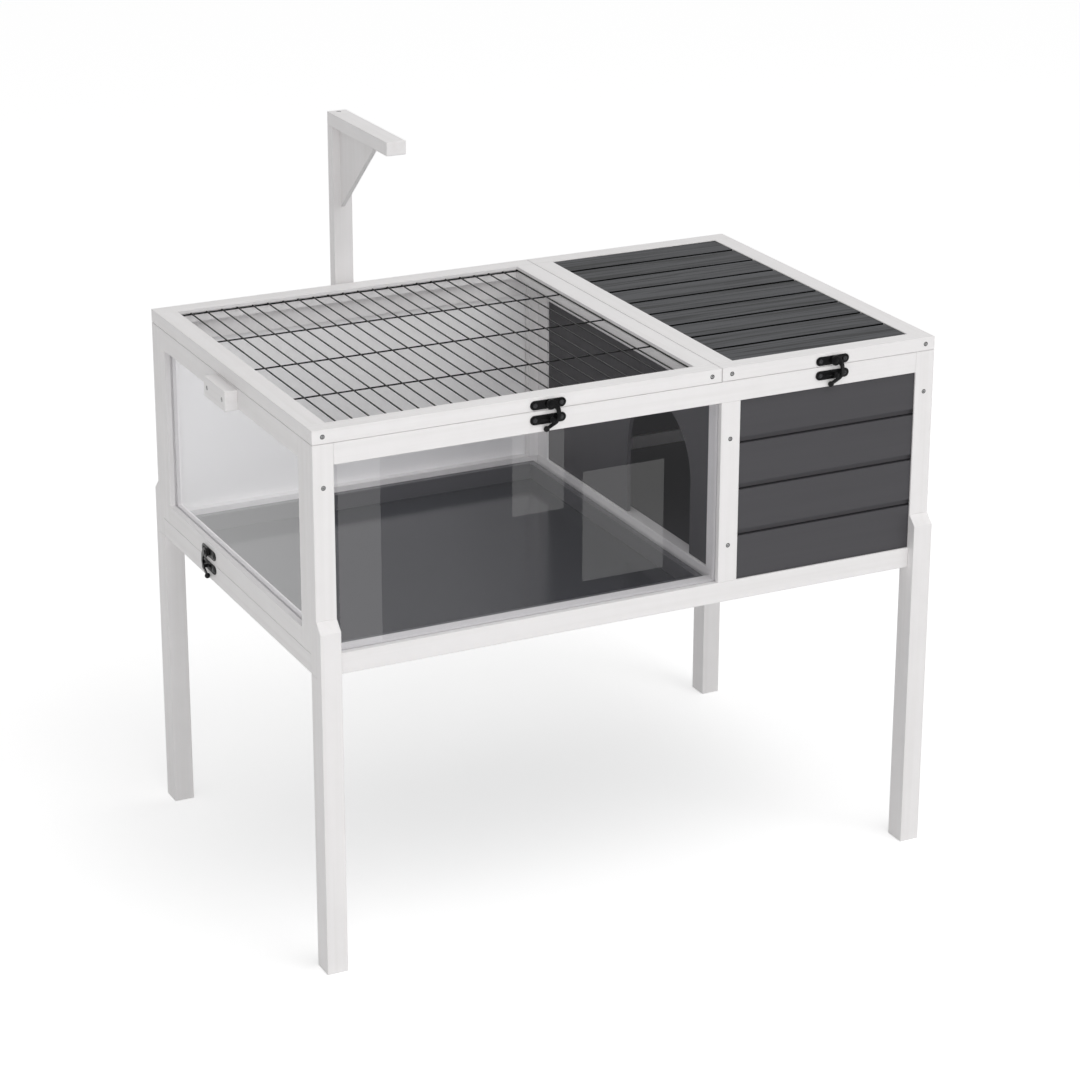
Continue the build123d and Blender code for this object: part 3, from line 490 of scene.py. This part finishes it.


# Roof boards
# Nine boards of 12 mm pine between the boarded lid's side rails, tongued into them and lapped
# under each other. They are stained dark grey and the brushed grain shows as fine darker and paler
# streaks. Down in the gaps between them, shade is painted black.

roof_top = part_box("roof_boards")[1].z


def stained_pine():
    """Brushed pine with a dark grey stain, its grain along x, and shade painted black down in the gaps."""
    streak_mm, streak_length_mm = 1.5, 90.0
    ring_mm, ring_length_mm = 7.0, 300.0
    warp_mm, warp_length_mm, warp_rings = 30.0, 260.0, 3.2
    gap_start, gap_black = roof_top - 0.2 * mm, roof_top - 0.5 * mm
    gap_end, underside_start = roof_top - 7 * mm, roof_top - 9 * mm
    material = new_material("grey_stained_brushed_pine")
    tree = material.node_tree
    warp = add(tree, "ShaderNodeTexNoise", {"Vector": wood_space(tree, "x", warp_mm, warp_length_mm),
                                            "Scale": 1.0, "Detail": 2.0})
    bend = add(tree, "ShaderNodeVectorMath", {0: warp.outputs["Color"], 1: (0.0, warp_rings, 0.0)},
               operation="MULTIPLY")
    ring_place = add(tree, "ShaderNodeVectorMath",
                     {0: wood_space(tree, "x", ring_mm, ring_length_mm), 1: bend.outputs[0]})
    ring = add(tree, "ShaderNodeTexNoise", {"Vector": ring_place.outputs[0], "Scale": 1.0, "Detail": 3.0,
                                            "Roughness": 0.55})
    streak = add(tree, "ShaderNodeTexNoise", {"Vector": wood_space(tree, "x", streak_mm, streak_length_mm),
                                              "Scale": 1.0, "Detail": 4.0, "Roughness": 0.65})
    dark_rings = add(tree, "ShaderNodeMapRange", {"Value": ring.outputs[0], "From Min": 0.44,
                                                  "From Max": 0.62})
    tone = add(tree, "ShaderNodeMix", {"Factor": dark_rings.outputs["Result"], "A": linear("#414245"),
                                       "B": linear("#111214")}, data_type="RGBA")
    pale = add(tree, "ShaderNodeMapRange", {"Value": streak.outputs[0], "From Min": 0.55, "From Max": 0.75,
                                            "To Max": 0.5})
    grained = add(tree, "ShaderNodeMix", {"Factor": pale.outputs["Result"], "A": tone.outputs["Result"],
                                          "B": linear("#5E5F63")}, data_type="RGBA")
    height = add(tree, "ShaderNodeSeparateXYZ", {0: add(tree, "ShaderNodeTexCoord").outputs["Object"]})
    # Painted shade: faces 0.5 mm to 7 mm below the board tops, down in the gaps, turn near black and lose
    # their sheen. The effect fades out towards the boards' undersides.
    groove = add(tree, "ShaderNodeMapRange", {"Value": height.outputs["Z"], "From Min": gap_black,
                                              "From Max": gap_start, "To Min": 1.0, "To Max": 0.0})
    underside = add(tree, "ShaderNodeMapRange", {"Value": height.outputs["Z"],
                                                 "From Min": underside_start, "From Max": gap_end})
    painted_gap_shade = add(tree, "ShaderNodeMath", {0: groove.outputs["Result"], 1: underside.outputs["Result"]},
                  operation="MULTIPLY")
    # The colour of the painted gap shade.
    gap_shaded = add(tree, "ShaderNodeMix", {"Factor": painted_gap_shade.outputs[0],
                                         "A": grained.outputs["Result"], "B": linear("#030303")},
                 data_type="RGBA")
    relief = add(tree, "ShaderNodeMath", {0: streak.outputs[0], 1: ring.outputs[0]}, operation="SUBTRACT")
    bump = add(tree, "ShaderNodeBump", {"Height": relief.outputs[0], "Strength": 0.6, "Distance": 0.2 * mm})
    gloss = add(tree, "ShaderNodeMapRange", {"Value": streak.outputs[0], "To Min": 0.4, "To Max": 0.62})
    sheen = add(tree, "ShaderNodeMapRange", {"Value": painted_gap_shade.outputs[0], "To Min": 0.16,
                                             "To Max": 0.0})
    stain = add(tree, "ShaderNodeBsdfPrincipled",
                {"Base Color": gap_shaded.outputs["Result"], "Roughness": gloss.outputs["Result"],
                 "Normal": bump.outputs[0], "IOR": 1.47, "Specular IOR Level": sheen.outputs["Result"]})
    add(tree, "ShaderNodeOutputMaterial", {"Surface": stain.outputs[0]})
    return material


dress(stained_pine(), "roof_boards")


# Lamp bracket
# A white pine post held off the back by two spacer blocks, an arm that reaches over the wire lid,
# and a thin triangular gusset in the corner between them.

dress(white_paint("z"), "lamp_post", "lamp_gusset")
dress(white_paint("y"), "lamp_arm")
dress(white_paint("x"), "lamp_spacers")


# Hinges
# Four butt hinges on the back, of zinc plated steel sheet with a 3 mm pin. Plating leaves a
# bright, faintly cloudy surface.

def zinc_plate():
    """Zinc plated steel with fine brushing under a faint cloud."""
    cloud_mm, brush_mm = 6.0, 0.5
    material = new_material("zinc_plated_steel")
    tree = material.node_tree
    place = add(tree, "ShaderNodeTexCoord").outputs["Object"]
    cloud = add(tree, "ShaderNodeTexNoise", {"Vector": place, "Scale": 1 / (cloud_mm * mm), "Detail": 4.0})
    grit = add(tree, "ShaderNodeTexNoise", {"Vector": place, "Scale": 1 / (brush_mm * mm), "Detail": 2.0})
    tone = add(tree, "ShaderNodeMix", {"Factor": cloud.outputs[0], "A": linear("#C9CBCE"),
                                       "B": linear("#A5A8AC")}, data_type="RGBA")
    gloss = add(tree, "ShaderNodeMapRange", {"Value": cloud.outputs[0], "To Min": 0.24, "To Max": 0.42})
    bump = add(tree, "ShaderNodeBump", {"Height": grit.outputs[0], "Strength": 0.3, "Distance": 0.01 * mm})
    plate = add(tree, "ShaderNodeBsdfPrincipled",
                {"Base Color": tone.outputs["Result"], "Metallic": 1.0,
                 "Roughness": gloss.outputs["Result"], "Normal": bump.outputs[0]})
    add(tree, "ShaderNodeOutputMaterial", {"Surface": plate.outputs[0]})
    return material


dress(zinc_plate(), "hinge_body_leaves", "mesh_lid_hinge_leaves", "solid_lid_hinge_leaves", "hinge_pins")


# Latches
# Three swing hook latches pressed from steel sheet and powder coated black. Pressing rounds every
# edge a little, and those edges catch the light.

pressed_edge = 0.45 * mm
weld_within = 0.001 * mm
flat_below, sheared_above = 1.0, 50.0
black_coat = black_metal("black_powder_coat", "#080809", 0.27, 0.9, 0.02)


def pressed(node, body):
    """A copy of a latch part with its sheared edges rounded."""
    shape = bmesh.new()
    shape.from_mesh(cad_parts[node].data)
    bmesh.ops.remove_doubles(shape, verts=shape.verts, dist=weld_within)
    bmesh.ops.dissolve_limit(shape, angle_limit=math.radians(flat_below), verts=shape.verts,
                             edges=shape.edges)
    sheared = [edge for edge in shape.edges
               if edge.is_manifold and edge.calc_face_angle() > math.radians(sheared_above)]
    bmesh.ops.bevel(shape, geom=sheared, offset=pressed_edge, segments=2, profile=0.5, affect="EDGES",
                    clamp_overlap=True)
    piece = finished(shape, f"pressed_{node}", black_coat, body)
    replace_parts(piece, node)


for node, body in (("mesh_latch_plate", "mesh_lid"), ("solid_latch_plate", "solid_lid"),
                   ("tray_latch_plate", "house"), ("mesh_latch_hook", "mesh_hook"),
                   ("solid_latch_hook", "solid_hook"), ("tray_latch_hook", "tray_hook"),
                   ("lid_keepers", "house"), ("tray_keeper", "tray")):
    pressed(node, body)


# Screws
# Countersunk steel wood screws in the frames and round-headed ones in the latches and hinges. Each
# head has shade painted dark round its rim and down in its cross; a countersunk head has a brighter centre
# round its cross.

rim_radius = 2.6 * mm
cross_reach = 2.0 * mm
cross_sink = 0.5 * mm
short_screw = 20 * mm
head_smooth_below = 35.0


def screw_steel(name, centre, rim):
    """Plated steel, with shade painted dark where the mesh marks it: round the rim and in the cross."""
    scratch_mm = 0.7
    shade_start, shade_end = 0.14, 0.24
    material = new_material(name)
    tree = material.node_tree
    place = add(tree, "ShaderNodeTexCoord").outputs["Object"]
    painted_shade = add(tree, "ShaderNodeAttribute", attribute_name="painted_shade").outputs["Fac"]
    scratch = add(tree, "ShaderNodeTexNoise", {"Vector": place, "Scale": 1 / (scratch_mm * mm),
                                               "Detail": 3.0})
    # Painted shade: the marked points round each head's rim and down in its cross take the dark colour.
    shaded = add(tree, "ShaderNodeMapRange", {"Value": painted_shade, "From Min": shade_start, "From Max": shade_end})
    tone = add(tree, "ShaderNodeMix", {"Factor": shaded.outputs["Result"], "A": linear(centre),
                                       "B": linear(rim)}, data_type="RGBA")
    gloss = add(tree, "ShaderNodeMapRange", {"Value": scratch.outputs[0], "To Min": 0.3, "To Max": 0.5})
    bump = add(tree, "ShaderNodeBump", {"Height": scratch.outputs[0], "Strength": 0.3,
                                        "Distance": 0.02 * mm})
    metal = add(tree, "ShaderNodeBsdfPrincipled",
                {"Base Color": tone.outputs["Result"], "Metallic": 0.3,
                 "Roughness": gloss.outputs["Result"], "Normal": bump.outputs[0]})
    add(tree, "ShaderNodeOutputMaterial", {"Surface": metal.outputs[0]})
    return material


def screws_of(node):
    """The node's screws, each as its points and faces."""
    shape = bmesh.new()
    shape.from_mesh(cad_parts[node].data)
    bmesh.ops.remove_doubles(shape, verts=shape.verts, dist=weld_within)
    shape.verts.ensure_lookup_table()
    seen, screws = set(), []
    for first in shape.verts:
        if first.index in seen:
            continue
        seen.add(first.index)
        members, waiting = [first], [first]
        while waiting:
            vert = waiting.pop()
            for edge in vert.link_edges:
                other = edge.other_vert(vert)
                if other.index not in seen:
                    seen.add(other.index)
                    members.append(other)
                    waiting.append(other)
        order = {vert.index: place for place, vert in enumerate(members)}
        faces = {face.index: [order[vert.index] for vert in face.verts]
                 for vert in members for face in vert.link_faces}
        screws.append(([vert.co.copy() for vert in members], list(faces.values())))
    shape.free()
    return screws


def screw_piece(name, screws, material, body):
    """One piece of several screws, with the points at each rim and down in each cross marked for painted
    shade.
    """
    points, faces, painted_shade = [], [], []
    for screw_points, screw_faces in screws:
        low = Vector([min(p[n] for p in screw_points) for n in range(3)])
        high = Vector([max(p[n] for p in screw_points) for n in range(3)])
        middle, size = (low + high) / 2, high - low
        axis = max(range(3), key=lambda n: size[n])
        head_end = max((low, high), key=lambda end: sum(
            1 for p in screw_points if abs(p[axis] - end[axis]) < cross_sink / 2))[axis]
        faces += [[len(points) + n for n in face] for face in screw_faces]
        points += screw_points
        for p in screw_points:
            off_axis = math.hypot(*[p[n] - middle[n] for n in range(3) if n != axis])
            sunk = abs(p[axis] - head_end) > cross_sink and off_axis < cross_reach
            # Mark the points for painted shade: round the rim and down in the cross.
            painted_shade.append(1.0 if sunk or off_axis > rim_radius else 0.0)
    mesh = bpy.data.meshes.new(name)
    mesh.from_pydata(points, [], faces)
    mesh.attributes.new("painted_shade", "FLOAT", "POINT").data.foreach_set("value", painted_shade)
    mesh.shade_smooth()
    mesh.set_sharp_from_angle(angle=math.radians(head_smooth_below))
    mesh.materials.append(material)
    piece = bpy.data.objects.new(name, mesh)
    bpy.context.scene.collection.objects.link(piece)
    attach(piece, body)
    return piece


# The second colour of each is the painted shade round each head's rim and in its cross.
countersunk_steel = screw_steel("plated_countersunk_steel", "#E6E6E6", "#060606")
round_head_steel = screw_steel("dark_plated_round_head", "#58585A", "#2C2C2E")
for node, body in (("frame_screws", "house"), ("mesh_lid_screws", "mesh_lid"),
                   ("solid_lid_screws", "solid_lid"), ("tray_screws", "tray")):
    long_ones, short_ones = [], []
    for screw in screws_of(node):
        reach = max(max(p[n] for p in screw[0]) - min(p[n] for p in screw[0]) for n in range(3))
        (short_ones if reach < short_screw else long_ones).append(screw)
    round_heads = screw_piece(f"round_head_{node}", short_ones, round_head_steel, body)
    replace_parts(round_heads, node)
    if long_ones:
        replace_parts(screw_piece(f"countersunk_{node}", long_ones, countersunk_steel, body), node)
